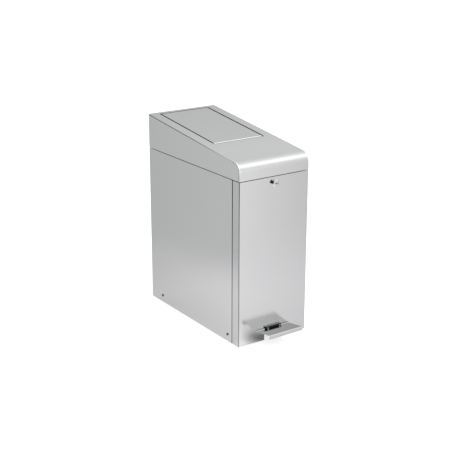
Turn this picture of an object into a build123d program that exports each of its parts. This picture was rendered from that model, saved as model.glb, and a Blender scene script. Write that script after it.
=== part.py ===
from build123d import *
import math
import os

os.makedirs("parts", exist_ok=True)

# All sizes are in millimetres. X runs across the container, Y from the front to the back, Z up.
# The origin lies on the floor, in the middle of the whole length from the pedal's lip to the hinge.

# Casing
casing_width = 200.0
casing_depth = 400.0
seam_rise = 407.0  # from the casing's lower edge to the seam under the lid
back_rise = 494.0  # to the roof's back edge
front_rise = 448.0  # to the roof plane carried on to the front face
roll_radius = 22.0  # where the roof rolls down into the lid's front
sheet = 1.0
bend_radius = 2.0
seam_gap = 1.6
rim_width = 11.0
fit_gap = 0.3  # between pieces that only have to clear each other
overrun = 5.0  # how far a cut runs past the face it opens

# Front panel, which wraps round both sides
return_depth = 26.0
groove = 2.0
joggle = 1.2
joggle_radius = 1.2
tongue_length = 18.0
notch_width = 48.0
notch_rise = 34.0
notch_radius = 1.5

# Base
foot_height = 3.0
foot_radius = 10.0
foot_inset = 24.0
foot_stem_radius = 3.0
foot_bead_radius = 4.5
foot_bead = 2.0
pan_height = 30.0
pan_cut_share = 0.45  # of the way from the front panel to the lever's pivot
shelf_rise = 50.0
side_screw_rise = 17.5
side_screw_front = 46.0
side_screw_back = 54.0

# Pedal and lever
pedal_reach = 56.0
pedal_width = 96.0
pedal_gap = 1.0
pedal_sheet = 1.5
pedal_rear_rise = 28.8
pedal_front_rise = 38.0
pedal_lip = 10.4
pedal_hem = 5.0
pedal_travel = 7.0  # degrees
clamp_width = 46.0
clamp_thickness = 2.5
clamp_rise = 34.4
pivot_rise = 20.0
lever_width = 24.0
lever_sheet = 2.0
lever_front_height = 12.0
lever_rear_height = 7.0
end_plate = 3.0
axle_radius = 3.0
lever_pad_radius = 5.0

# Flap, its hinge and the rod that lifts it
roof_margin = 30.0  # from each side of the flap to the side of the casing
flap_length = 242.6
flap_setback = 14.0
flap_flange = 12.0
flap_gap = 3.0
flap_front_gap = 4.5
flap_back_gap = 2.5
flap_hinge_inset = 14.0
flap_hinge_drop = 7.0
flap_axle_radius = 2.5
flap_opening = 65.0  # degrees
cam_radius = 22.0  # radius of the circle that the cam's involute unwinds from
cam_drop = 30.0  # from the flap's hinge line down to the cam's point of contact at rest
cam_thickness = 8.0
rod_radius = 3.0
running_gap = 0.05

# Lid hinge
hinge_radius = 3.0
hinge_pin_radius = 1.5
hinge_leaf = 1.2
leaf_width = 18.0
hinge_length = 160.0
knuckles = 8

# Lock
lock_drop = 16.0
lock_radius = 9.0
lock_reach = 8.0
lock_barrel_radius = 7.0
lock_barrel_length = 15.0
plug_radius = 5.5
lock_cam_length = 15.0
lock_cam_width = 12.0
lock_cam_sheet = 1.5

# Bucket
bucket_wall = 2.5
bucket_height = 340.0
bucket_front_room = 26.0
bucket_side_room = 14.0
bucket_draft = 4.0
bucket_corner = 20.0
bucket_rim = 3.0

# Fasteners
rivet_radius = 1.6
rivet_head_radius = 3.0
rivet_head = 1.1
rivet_tail = 1.2
head_taper = 30.0  # degrees
clip_thickness = 0.8
clip_radius = 5.0

# Places worked out from the sizes above
hinge_y_offset = hinge_radius + fit_gap
overall_depth = pedal_reach + casing_depth + hinge_y_offset + hinge_radius
front_y = pedal_reach - overall_depth / 2
back_y = front_y + casing_depth
half_width = casing_width / 2
flap_width = casing_width - 2 * roof_margin
base_z = foot_height
seam_z = base_z + seam_rise
casing_top = seam_z - seam_gap / 2
lid_bottom = seam_z + seam_gap / 2
shell_start = front_y + return_depth + groove
tongue_half = half_width - joggle - sheet  # inner face of the shell's joggled tongues
pan_top = base_z + sheet
shelf_top = base_z + shelf_rise

slope = math.atan2(back_rise - front_rise, casing_depth)
roof = Plane(
    origin=(0, back_y, base_z + back_rise),
    x_dir=(1, 0, 0),
    z_dir=(0, -math.sin(slope), math.cos(slope)),
)
roof_axis = Axis(roof.origin, roof.z_dir)
flap_back = -flap_setback  # along the roof, from its back edge
flap_front = flap_back - flap_length
flap_hinge = roof.from_local_coords(Vector(0, flap_back - flap_hinge_inset, -flap_hinge_drop))
flap_y, flap_z = flap_hinge.Y, flap_hinge.Z

rod_y = flap_y - cam_radius
rod_lift = cam_radius * math.radians(flap_opening)
rear_arm = rod_lift / math.radians(pedal_travel)
pivot_y = rod_y - rear_arm
pivot_z = base_z + pivot_rise
pad_z = pivot_z - rod_lift / 2  # the pad swings as far above the pivot as it lies below it at rest
lock_z = seam_z - lock_drop
pan_cut_depth = pan_cut_share * (pivot_y - front_y)


def bent_sheet(points, radius, side, thickness=sheet):
    """The section of a folded sheet, whose outer face follows the points."""
    with BuildLine() as path:
        FilletPolyline(*points, radius=radius)
        offset(amount=thickness, side=side)
    make_face(path.edges())


def disc(plane, radius, height, taper=0, mode=Mode.ADD):
    """A round bar, head or bore that stands on a plane."""
    with BuildSketch(plane) as section:
        Circle(radius)
    extrude(section.sketch, amount=height, taper=taper, mode=mode)


def facing_side(x, y, z):
    """A plane that looks to the right-hand side."""
    return Plane(origin=(x, y, z), x_dir=(0, 1, 0), z_dir=(1, 0, 0))


def facing_front(x, y, z):
    """A plane that looks to the front."""
    return Plane(origin=(x, y, z), x_dir=(1, 0, 0), z_dir=(0, -1, 0))


def facing_back(x, y, z):
    """A plane that looks to the rear."""
    return Plane(origin=(x, y, z), x_dir=(-1, 0, 0), z_dir=(0, 1, 0))


def facing_up(x, y, z):
    """A plane that looks up."""
    return Plane(origin=(x, y, z), x_dir=(1, 0, 0), z_dir=(0, 0, 1))


def facing_down(x, y, z):
    """A plane that looks at the floor."""
    return Plane(origin=(x, y, z), x_dir=(1, 0, 0), z_dir=(0, 0, -1))


def bar_along_x(y, z, radius, start, end, mode=Mode.ADD):
    """A round bar or bore that runs along X."""
    disc(facing_side(start, y, z), radius, end - start, mode=mode)


def bar_along_y(x, z, radius, start, end, mode=Mode.ADD):
    """A round bar or bore that runs along Y."""
    disc(facing_back(x, start, z), radius, end - start, mode=mode)


def bar_along_z(x, y, radius, start, end, mode=Mode.ADD):
    """A round bar or bore that runs up."""
    disc(facing_up(x, y, start), radius, end - start, mode=mode)


def rivet(seat, grip):
    """A rivet with its head on the seat plane and its tail beyond the sheets that it grips."""
    disc(seat, rivet_radius, -(grip + rivet_tail))
    disc(seat, rivet_head_radius, rivet_head, taper=head_taper)


def rivet_hole(seat, depth):
    """The hole that such a rivet fills."""
    disc(seat, rivet_radius, -depth, mode=Mode.SUBTRACT)


def on_roof(x, y, depth):
    """A plane along the roof, measured from its back edge and down from its surface."""
    return Plane(origin=roof.from_local_coords(Vector(x, y, -depth)), x_dir=roof.x_dir, z_dir=roof.z_dir)


def block_under_roof(x, y, width, length, top, bottom, mode=Mode.ADD):
    """A block along the roof, between two depths under its surface."""
    with BuildSketch(on_roof(x, y, top)) as section:
        Rectangle(width, length)
    extrude(section.sketch, amount=top - bottom, mode=mode)


def side_rim(z, start):
    """A rim folded inwards along both sides and the back, open to the front."""
    with BuildSketch(Plane.XY.offset(z)) as section:
        depth = back_y - sheet / 2 - start
        with Locations((0, start + depth / 2)):
            Rectangle(casing_width - sheet, depth)
        fillet(vertices().group_by(Axis.Y)[-1], bend_radius - sheet / 2)
        inner = back_y - rim_width - start
        with Locations((0, start + inner / 2)):
            Rectangle(casing_width - 2 * rim_width, inner, mode=Mode.SUBTRACT)
    extrude(section.sketch, amount=sheet)


def retaining_clip(y, z, inner, outer, start):
    """A spring clip round an axle that runs along X, open at its foot."""
    with BuildSketch(Plane.YZ.offset(start)) as section:
        with Locations((y, z)):
            Circle(outer)
            Circle(inner, mode=Mode.SUBTRACT)
        with Locations((y, z - outer)):
            Rectangle(inner, outer, mode=Mode.SUBTRACT)
    extrude(section.sketch, amount=clip_thickness)


# Side screws and the rivet nuts that they turn into
side_screw_radius = 2.0
side_screw_head_radius = 2.6
side_screw_head = 1.2
side_screw_socket = 1.2
side_screw_length = 9.0
nut_radius = 3.2
nut_flange_radius = 4.6
nut_length = 8.0
side_screw_places = [
    (side, y)
    for side in (-1, 1)
    for y in (front_y + side_screw_front, back_y - side_screw_back)
]
side_screw_z = base_z + side_screw_rise
pan_wall = tongue_half - sheet  # inner face of the pan's side walls

# Rear hinge of the lid: two leaves on the outside of the back, with knuckles in turn
hinge_y = back_y + hinge_y_offset
hinge_z = seam_z
pitch = hinge_length / knuckles
leaf_clear = hinge_radius + fit_gap
leaf_rivet_shares = (-0.42, -0.14, 0.14, 0.42)
leaf_rivets = [share * hinge_length for share in leaf_rivet_shares]
leaf_rivet_drop = (leaf_clear + leaf_width) / 2


def leaf_rivet_seat(x, up):
    """Where a rivet's head sits on a leaf, above or below the hinge line."""
    return facing_back(x, back_y + hinge_leaf, hinge_z + up * leaf_rivet_drop)


# Upper guide of the rod, riveted to the back wall
guide_rise = 384.0
guide_sheet = 1.5
guide_width = 36.0
guide_foot = 26.0
guide_rivet_drop = 16.0
guide_z = base_z + guide_rise
bush_radius = 5.0
bush_flange_radius = 6.5
bush_flange = 1.2
bush_below = 1.5
bush_above = 6.0
guide_nose = rod_y - bush_flange_radius - 2 * fit_gap
guide_top = guide_z + guide_sheet
guide_rivet_z = guide_z - guide_rivet_drop
guide_rivet_seats = [facing_back(side * guide_width / 4, back_y, guide_rivet_z) for side in (-1, 1)]

# The casing's side and back walls are one sheet, with a tongue set in behind each return of the front.
with BuildPart() as casing_shell:
    tongue_start = front_y + return_depth - tongue_length
    tongue_x = half_width - joggle
    half_path = [
        (tongue_x, tongue_start),
        (tongue_x, shell_start - joggle),
        (half_width, shell_start),
        (half_width, back_y),
    ]
    half_radii = [joggle_radius, joggle_radius, bend_radius]
    shell_path = [(-x, y) for x, y in half_path] + half_path[::-1]
    with BuildSketch(Plane.XY.offset(base_z)):
        bent_sheet(shell_path, half_radii + half_radii[::-1], Side.RIGHT)
    extrude(amount=casing_top - base_z)
    side_rim(casing_top - sheet, shell_start + joggle)
    for side, y in side_screw_places:
        outside = side * (half_width + overrun)
        inside = side * (tongue_half - overrun)
        bar_along_x(y, side_screw_z, side_screw_radius, outside, inside, Mode.SUBTRACT)
    for x in leaf_rivets:
        rivet_hole(leaf_rivet_seat(x, -1), hinge_leaf + 2 * sheet)
    for seat in guide_rivet_seats:
        rivet_hole(seat, 2 * sheet)
casing_shell.part.label = "casing_shell"
export_step(casing_shell.part, "parts/casing_shell.step")

# The front panel is a tray of its own, with the pedal's notch at its foot and the lock's hole above.
with BuildPart() as front_panel:
    with BuildSketch(Plane.XY.offset(base_z)):
        panel_path = [
            (-half_width, front_y + return_depth),
            (-half_width, front_y),
            (half_width, front_y),
            (half_width, front_y + return_depth),
        ]
        bent_sheet(panel_path, bend_radius, Side.LEFT)
    extrude(amount=casing_top - base_z)
    rim_half = tongue_half - sheet
    with BuildSketch(Plane.XY.offset(casing_top - sheet)):
        with Locations((0, front_y + (rim_width + sheet / 2) / 2)):
            Rectangle(2 * rim_half, rim_width - sheet / 2)
    extrude(amount=sheet)
    with BuildSketch(Plane.XZ.offset(-front_y + overrun)):
        with Locations((0, base_z + notch_rise / 2 - overrun / 2)):
            Rectangle(notch_width, notch_rise + overrun)
        fillet(vertices().group_by(Axis.Y)[-1], notch_radius)
    extrude(amount=-2 * overrun, mode=Mode.SUBTRACT)
    bar_along_y(0, lock_z, lock_barrel_radius, front_y - overrun, front_y + overrun, Mode.SUBTRACT)
front_panel.part.label = "front_panel"
export_step(front_panel.part, "parts/front_panel.step")

# The base pan is open under the lever's front end.
with BuildPart() as base_pan:
    pan_depth = casing_depth - 2 * sheet
    with BuildSketch(Plane.XY.offset(base_z)):
        with Locations((0, (front_y + back_y) / 2)):
            RectangleRounded(2 * tongue_half, pan_depth, bend_radius)
    extrude(amount=pan_height)
    fillet(base_pan.faces().sort_by(Axis.Z)[0].edges(), bend_radius - sheet / 2)
    offset(amount=-sheet, openings=base_pan.faces().sort_by(Axis.Z)[-1])
    with BuildSketch(Plane.XY.offset(base_z - overrun)):
        with Locations((0, front_y + pan_cut_depth / 2)):
            Rectangle(notch_width + 2 * bend_radius, pan_cut_depth)
        fillet(vertices().group_by(Axis.Y)[-1], bend_radius)
    extrude(amount=pan_height + 2 * overrun, mode=Mode.SUBTRACT)
    for side, y in side_screw_places:
        outside = side * (tongue_half + overrun)
        inside = side * (tongue_half - overrun)
        bar_along_x(y, side_screw_z, nut_radius, outside, inside, Mode.SUBTRACT)
    foot_places = [
        (x, y)
        for x in (foot_inset - half_width, half_width - foot_inset)
        for y in (front_y + foot_inset, back_y - foot_inset)
    ]
    for x, y in foot_places:
        bar_along_z(x, y, foot_stem_radius, base_z - overrun, pan_top + overrun, Mode.SUBTRACT)
    bracket_rivet_step = 15.0
    for step in (-1, 1):
        rivet_hole(facing_down(0, pivot_y + step * bracket_rivet_step, base_z), 2 * sheet)
base_pan.part.label = "base_pan"
export_step(base_pan.part, "parts/base_pan.step")

with BuildPart() as rubber_feet:
    for x, y in foot_places:
        bar_along_z(x, y, foot_radius, 0, foot_height)
        bar_along_z(x, y, foot_stem_radius, foot_height, pan_top)
        bar_along_z(x, y, foot_bead_radius, pan_top, pan_top + foot_bead)
    chamfer(rubber_feet.edges().group_by(Axis.Z)[0], foot_height / 4)
rubber_feet.part.label = "rubber_feet"
export_step(rubber_feet.part, "parts/rubber_feet.step")

with BuildPart() as rivet_nuts:
    for side, y in side_screw_places:
        bar_along_x(y, side_screw_z, nut_flange_radius, side * (half_width - sheet), side * tongue_half)
        bar_along_x(y, side_screw_z, nut_radius, side * tongue_half, side * (tongue_half - nut_length))
        outside = side * (half_width + overrun)
        inside = side * (pan_wall - nut_length - overrun)
        bar_along_x(y, side_screw_z, side_screw_radius, outside, inside, Mode.SUBTRACT)
rivet_nuts.part.label = "rivet_nuts"
export_step(rivet_nuts.part, "parts/rivet_nuts.step")

with BuildPart() as side_screws:
    for side, y in side_screw_places:
        tip = side * (half_width - side_screw_length)
        bar_along_x(y, side_screw_z, side_screw_radius, side * half_width, tip)
        with BuildSketch(Plane.YZ.offset(side * half_width)):
            with Locations((y, side_screw_z)):
                Circle(side_screw_head_radius)
        extrude(amount=side * side_screw_head, taper=side * head_taper)
        with BuildSketch(Plane.YZ.offset(side * (half_width + side_screw_head))):
            with Locations((y, side_screw_z)):
                RegularPolygon(side_screw_socket, 6)
        extrude(amount=-side * side_screw_head, mode=Mode.SUBTRACT)
side_screws.part.label = "side_screws"
export_step(side_screws.part, "parts/side_screws.step")

# The shelf is a bridge over the lever. Its legs stand on the pan, against the pan's side walls.
shelf_inset = 8.0
with BuildPart() as bucket_shelf:
    with BuildSketch(Plane.XZ.offset(-front_y - shelf_inset)):
        left_leg = [(-pan_wall, pan_top), (-pan_wall, shelf_top)]
        shelf_path = left_leg + [(-x, z) for x, z in left_leg[::-1]]
        bent_sheet(shelf_path, bend_radius, Side.RIGHT)
    extrude(amount=-(casing_depth - 2 * shelf_inset))
    chamfer(bucket_shelf.edges().filter_by(Axis.Y).group_by(Axis.Z)[0].sort_by(Axis.X)[:: 3], sheet / 2)
    bar_along_z(0, rod_y, bush_radius, shelf_top - overrun, shelf_top + overrun, Mode.SUBTRACT)
    for side, y in side_screw_places:
        outside = side * half_width
        inside = side * (pan_wall - overrun)
        bar_along_x(y, side_screw_z, nut_radius + fit_gap, outside, inside, Mode.SUBTRACT)
bucket_shelf.part.label = "bucket_shelf"
export_step(bucket_shelf.part, "parts/bucket_shelf.step")

# The bucket is moulded with a draft, a turned-down rim and a grip in each end.
bucket_back_room = 2.0
grip_width = 90.0
grip_height = 24.0
grip_drop = 26.0
rim_turn = 6.0
bucket_foot_radius = 6.0
with BuildPart() as bucket:
    bucket_start = front_y + bucket_front_room
    bucket_end = guide_nose - bucket_back_room
    rim_size = [2 * (half_width - bucket_side_room), bucket_end - bucket_start]
    top_size = [size - 2 * bucket_rim for size in rim_size]
    foot_size = [size - 2 * bucket_draft for size in top_size]
    middle = (0, (bucket_start + bucket_end) / 2)
    bucket_top = shelf_top + bucket_height
    for inset, floor, mode in ((0, 0, Mode.ADD), (bucket_wall, bucket_wall, Mode.SUBTRACT)):
        with BuildSketch(Plane.XY.offset(shelf_top + floor)):
            with Locations(middle):
                RectangleRounded(foot_size[0] - 2 * inset, foot_size[1] - 2 * inset, bucket_corner - inset)
        with BuildSketch(Plane.XY.offset(bucket_top)):
            with Locations(middle):
                RectangleRounded(top_size[0] - 2 * inset, top_size[1] - 2 * inset, bucket_corner - inset)
        loft(mode=mode)
    outer_foot, inner_foot = bucket.faces().filter_by(Axis.Z).sort_by(Axis.Z)[:2]
    fillet(outer_foot.edges(), bucket_foot_radius)
    fillet(inner_foot.edges(), bucket_foot_radius - bucket_wall)
    for drop, outline in ((bucket_wall, top_size), (rim_turn, rim_size)):
        inner = [size - 2 * bucket_wall for size in outline]
        with BuildSketch(Plane.XY.offset(bucket_top)):
            with Locations(middle):
                RectangleRounded(*rim_size, bucket_corner + bucket_rim)
                RectangleRounded(*inner, bucket_corner - bucket_wall, mode=Mode.SUBTRACT)
        extrude(amount=-drop)
    with BuildSketch(Plane.XZ.offset(-bucket_start + overrun)):
        with Locations((0, bucket_top - grip_drop)):
            SlotOverall(grip_width, grip_height)
    extrude(amount=-(rim_size[1] + 2 * overrun), mode=Mode.SUBTRACT)
bucket.part.label = "bucket"
export_step(bucket.part, "parts/bucket.step")

# The lever's bearing: an upright bracket on the pan, an axle through both ears, and a clip on each end.
lever_bush_radius = 4.5
lever_bush_flange_radius = 6.0
lever_bush_flange = 1.0
lever_pivot_height = 13.0
ear_half = lever_width / 2 + lever_bush_flange + fit_gap + lever_sheet  # outer face of an ear
ear_reach = 22.0
ear_top = pivot_z + 2 * axle_radius + lever_sheet
with BuildPart() as pivot_bracket:
    with BuildSketch(Plane.XZ.offset(-pivot_y - ear_reach)):
        left_ear = [(-ear_half, ear_top), (-ear_half, pan_top)]
        bracket_path = left_ear + [(-x, z) for x, z in left_ear[::-1]]
        bent_sheet(bracket_path, bend_radius + lever_sheet / 2, Side.LEFT, lever_sheet)
    extrude(amount=2 * ear_reach)
    fillet(pivot_bracket.edges().filter_by(Axis.X).group_by(Axis.Z)[-1], ear_reach / 2)
    bar_along_x(pivot_y, pivot_z, axle_radius, -half_width, half_width, Mode.SUBTRACT)
    for step in (-1, 1):
        rivet_hole(facing_down(0, pivot_y + step * bracket_rivet_step, base_z), sheet + 2 * lever_sheet)
pivot_bracket.part.label = "pivot_bracket"
export_step(pivot_bracket.part, "parts/pivot_bracket.step")

with BuildPart() as bracket_rivets:
    for step in (-1, 1):
        rivet(facing_down(0, pivot_y + step * bracket_rivet_step, base_z), sheet + lever_sheet)
bracket_rivets.part.label = "bracket_rivets"
export_step(bracket_rivets.part, "parts/bracket_rivets.step")

with BuildPart() as pivot_axle:
    axle_half = ear_half + 3 * clip_thickness
    bar_along_x(pivot_y, pivot_z, axle_radius, -axle_half, axle_half)
    chamfer(pivot_axle.faces().filter_by(Axis.X).edges(), clip_thickness / 2)
pivot_axle.part.label = "pivot_axle"
export_step(pivot_axle.part, "parts/pivot_axle.step")

with BuildPart() as axle_clips:
    for start in (ear_half + running_gap, -ear_half - running_gap - clip_thickness):
        retaining_clip(pivot_y, pivot_z, axle_radius, clip_radius, start)
axle_clips.part.label = "axle_clips"
export_step(axle_clips.part, "parts/axle_clips.step")

# The lever is a channel, open below, deepest at its pivot. Its front plate stands in the notch.
lever_front_rise = 20.0
lever_start = front_y + end_plate - pedal_gap
lever_end = rod_y + lever_pad_radius + lever_sheet
lever_front_z = base_z + lever_front_rise
pad_pin_radius = 1.5
lever_sections = (
    (lever_start, lever_front_z, lever_front_z + lever_front_height),
    (pivot_y, pivot_z - lever_pivot_height / 2, pivot_z + lever_pivot_height / 2),
    (lever_end, pad_z - lever_rear_height / 2, pad_z + lever_rear_height / 2),
)
lever_outline = [(y, low) for y, low, high in lever_sections]
lever_outline += [(y, high) for y, low, high in lever_sections[::-1]]
with BuildPart() as pedal_lever:
    with BuildSketch(Plane.YZ):
        Polygon(*lever_outline, align=None)
    extrude(amount=lever_width / 2, both=True)
    fillet(pedal_lever.edges().filter_by(Axis.X).group_by(Axis.Y)[-1], lever_rear_height / 3)
    with BuildSketch(Plane.YZ):
        Polygon(*[(y, z - lever_sheet) for y, z in lever_outline], align=None)
    extrude(amount=lever_width / 2 - lever_sheet, both=True, mode=Mode.SUBTRACT)
    with BuildSketch(Plane.XZ.offset(-lever_start)):
        with Locations((0, (lever_front_z + base_z + notch_rise - 2 * fit_gap) / 2)):
            Rectangle(clamp_width, notch_rise - 2 * fit_gap - lever_front_rise)
    extrude(amount=end_plate)
    with BuildSketch(Plane.XY.offset(pivot_z)):
        web_cut = lever_end - rod_y + lever_pad_radius + lever_sheet
        with Locations((0, lever_end - web_cut / 2)):
            Rectangle(lever_width - 2 * lever_sheet, web_cut)
    extrude(amount=-lever_pivot_height - lever_rear_height, both=True, mode=Mode.SUBTRACT)
    bar_along_x(pivot_y, pivot_z, lever_bush_radius, -lever_width, lever_width, Mode.SUBTRACT)
    bar_along_x(rod_y, pad_z, pad_pin_radius, -lever_width, lever_width, Mode.SUBTRACT)
    clamp_screw_radius = 1.25
    clamp_head_radius = 2.0
    clamp_screw_head = 1.6
    clamp_screw_x = 17.5
    clamp_screw_drop = 2.5
    clamp_screw_z = base_z + clamp_rise - clamp_screw_drop
    for side in (-1, 1):
        x = side * clamp_screw_x
        behind = lever_start + overrun
        bar_along_y(x, clamp_screw_z, clamp_screw_radius, front_y - overrun, behind, Mode.SUBTRACT)
pedal_lever.part.label = "pedal_lever"
export_step(pedal_lever.part, "parts/pedal_lever.step")

with BuildPart() as lever_bushes:
    for side in (-1, 1):
        wall = side * lever_width / 2
        bush_tail = wall - side * (lever_sheet + lever_bush_flange)
        bar_along_x(pivot_y, pivot_z, lever_bush_flange_radius, wall, wall + side * lever_bush_flange)
        bar_along_x(pivot_y, pivot_z, lever_bush_radius, wall, bush_tail)
    bar_along_x(pivot_y, pivot_z, axle_radius + running_gap, -lever_width, lever_width, Mode.SUBTRACT)
lever_bushes.part.label = "lever_bushes"
export_step(lever_bushes.part, "parts/lever_bushes.step")

with BuildPart() as lever_pad:
    pad_half = lever_width / 2 - lever_sheet
    bar_along_x(rod_y, pad_z, lever_pad_radius, -pad_half, pad_half)
    bar_along_x(rod_y, pad_z, pad_pin_radius, -pad_half, pad_half, Mode.SUBTRACT)
lever_pad.part.label = "lever_pad"
export_step(lever_pad.part, "parts/lever_pad.step")

with BuildPart() as pad_pin:
    pad_pin_half = (lever_width + lever_sheet) / 2
    bar_along_x(rod_y, pad_z, pad_pin_radius, -pad_pin_half, pad_pin_half)
pad_pin.part.label = "pad_pin"
export_step(pad_pin.part, "parts/pad_pin.step")

# The pedal is one folded sheet: a low turned-up edge at the rear, the tread, its lip and hem, and a tab
# that stands up behind the clamp.
pedal_turn_up = 2.4
turn_up_radius = 0.8
tab_front = front_y - pedal_gap - pedal_sheet
tread_rear = (front_y - pedal_gap, base_z + pedal_rear_rise)
tread_front = (front_y - pedal_reach, base_z + pedal_front_rise)
tread_slope = (tread_front[1] - tread_rear[1]) / (tread_rear[0] - tread_front[0])
lip_z = tread_front[1] - pedal_lip
with BuildPart() as pedal_plate:
    with BuildSketch(Plane.YZ):
        fold_z = tread_rear[1] + tread_slope * pedal_sheet
        turned_up = [(tab_front, fold_z + pedal_turn_up), (tab_front, fold_z)]
        lip_path = [(tread_front[0], lip_z), (tread_front[0] + pedal_hem, lip_z)]
        pedal_path = turned_up + [tread_front] + lip_path
        bent_sheet(pedal_path, [turn_up_radius, bend_radius, bend_radius], Side.LEFT, pedal_sheet)
    extrude(amount=pedal_width / 2, both=True)
    with BuildSketch(Plane.XZ.offset(pedal_gap - front_y)):
        tab_foot = fold_z + pedal_turn_up / 2
        with Locations((0, (tab_foot + base_z + clamp_rise) / 2)):
            Rectangle(clamp_width, base_z + clamp_rise - tab_foot)
    extrude(amount=pedal_sheet)
    for side in (-1, 1):
        x = side * clamp_screw_x
        bar_along_y(x, clamp_screw_z, clamp_screw_radius, tab_front - overrun, front_y, Mode.SUBTRACT)
pedal_plate.part.label = "pedal_plate"
export_step(pedal_plate.part, "parts/pedal_plate.step")

with BuildPart() as pedal_clamp:
    clamp_foot = fold_z + turn_up_radius
    with BuildSketch(Plane.XZ.offset(-tab_front)):
        with Locations((0, (clamp_foot + base_z + clamp_rise) / 2)):
            Rectangle(clamp_width, base_z + clamp_rise - clamp_foot)
    extrude(amount=clamp_thickness)
    fillet(pedal_clamp.faces().sort_by(Axis.Y)[0].edges(), clamp_thickness / 5)
    for side in (-1, 1):
        x = side * clamp_screw_x
        bar_along_y(x, clamp_screw_z, clamp_screw_radius, tab_front - overrun, front_y, Mode.SUBTRACT)
pedal_clamp.part.label = "pedal_clamp"
export_step(pedal_clamp.part, "parts/pedal_clamp.step")

with BuildPart() as clamp_screws:
    clamp_face = tab_front - clamp_thickness
    for side in (-1, 1):
        x = side * clamp_screw_x
        bar_along_y(x, clamp_screw_z, clamp_screw_radius, clamp_face, lever_start + sheet)
        seat = facing_front(x, clamp_face, clamp_screw_z)
        disc(seat, clamp_head_radius, clamp_screw_head, taper=head_taper / 2)
clamp_screws.part.label = "clamp_screws"
export_step(clamp_screws.part, "parts/clamp_screws.step")

# Rubber blocks on the pan stop the lever at both ends of its travel.
bumper_width = 30.0
bumper_length = 12.0
bumper_inset = 4.0  # from the edge of the pan's cut
rear_bumper_reach = 20.0
front_bumper_reach = pivot_y - front_y - pan_cut_depth - bumper_inset - bumper_length / 2


def lever_underside(reach, turn):
    """Height of the lever's lower edge, reach in front of the pivot, after a turn in degrees."""
    front, middle, rear = lever_sections
    far = front if reach > 0 else rear
    share = reach / (pivot_y - far[0])
    low = middle[1] + share * (far[1] - middle[1]) - pivot_z
    angle = math.radians(turn)
    return pivot_z + low * math.cos(angle) - reach * math.sin(angle)


with BuildPart() as lever_bumpers:
    for reach, turn in ((front_bumper_reach, pedal_travel), (rear_bumper_reach - rear_arm, 0)):
        nearest = reach + math.copysign(bumper_length / 2, reach)
        height = lever_underside(nearest, turn) - fit_gap - pan_top
        with BuildSketch(Plane.XY.offset(pan_top)):
            with Locations((0, pivot_y - reach)):
                Rectangle(bumper_width, bumper_length)
        extrude(amount=height)
    fillet(lever_bumpers.edges().filter_by(Axis.Z), bumper_length / 6)
lever_bumpers.part.label = "lever_bumpers"
export_step(lever_bumpers.part, "parts/lever_bumpers.step")

lid_bumper_radius = 3.5
lid_bumper_inset = 6.0
lid_bumper_ends = 60.0
with BuildPart() as lid_bumpers:
    for side in (-1, 1):
        for y in (front_y + lid_bumper_ends, back_y - lid_bumper_ends):
            x = side * (half_width - lid_bumper_inset)
            bar_along_z(x, y, lid_bumper_radius, casing_top, lid_bottom - fit_gap)
lid_bumpers.part.label = "lid_bumpers"
export_step(lid_bumpers.part, "parts/lid_bumpers.step")

# The rod slides in two bushes, one in the shelf and one in the guide bracket.
with BuildPart() as guide_bracket:
    with BuildSketch(Plane.YZ):
        wall_y = back_y - sheet
        guide_path = [(guide_nose, guide_top), (wall_y, guide_top), (wall_y, guide_z - guide_foot)]
        bent_sheet(guide_path, bend_radius + guide_sheet / 2, Side.RIGHT, guide_sheet)
    extrude(amount=guide_width / 2, both=True)
    fillet(guide_bracket.edges().filter_by(Axis.Z).group_by(Axis.Y)[0], bush_radius)
    fillet(guide_bracket.edges().filter_by(Axis.Y).group_by(Axis.Z)[0], bush_radius)
    bar_along_z(0, rod_y, bush_radius, guide_z - overrun, guide_top + overrun, Mode.SUBTRACT)
    for seat in guide_rivet_seats:
        rivet_hole(seat, sheet + 2 * guide_sheet)
guide_bracket.part.label = "guide_bracket"
export_step(guide_bracket.part, "parts/guide_bracket.step")

with BuildPart() as guide_rivets:
    for seat in guide_rivet_seats:
        rivet(seat, sheet + guide_sheet)
guide_rivets.part.label = "guide_rivets"
export_step(guide_rivets.part, "parts/guide_rivets.step")

with BuildPart() as guide_bushes:
    for top, thickness in ((shelf_top, sheet), (guide_top, guide_sheet)):
        bar_along_z(0, rod_y, bush_radius, top - thickness - bush_below, top + bush_above)
        bar_along_z(0, rod_y, bush_flange_radius, top, top + bush_flange)
    bar_along_z(0, rod_y, rod_radius + running_gap, 0, guide_top + 2 * bush_above, Mode.SUBTRACT)
guide_bushes.part.label = "guide_bushes"
export_step(guide_bushes.part, "parts/guide_bushes.step")

# The rod rests on the lever's pad through a foot, and carries a cap under the flap's cam.
rod_end_height = 8.0
rod_end_grip = 5.0
rod_foot_radius = 7.0
rod_cap_width = 18.0
rod_cap_length = 14.0
foot_z = pad_z + lever_pad_radius + fit_gap
cap_top = flap_z - cam_drop - fit_gap
rod_start = foot_z + rod_end_height - rod_end_grip
rod_end = cap_top - rod_end_height + rod_end_grip
with BuildPart() as push_rod:
    bar_along_z(0, rod_y, rod_radius, rod_start, rod_end)
push_rod.part.label = "push_rod"
export_step(push_rod.part, "parts/push_rod.step")

with BuildPart() as rod_foot:
    bar_along_z(0, rod_y, rod_foot_radius, foot_z, foot_z + rod_end_height)
    chamfer(rod_foot.edges().filter_by(GeomType.CIRCLE), rod_end_height / 8)
    bar_along_z(0, rod_y, rod_radius, rod_start, foot_z + 2 * rod_end_height, Mode.SUBTRACT)
rod_foot.part.label = "rod_foot"
export_step(rod_foot.part, "parts/rod_foot.step")

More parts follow.
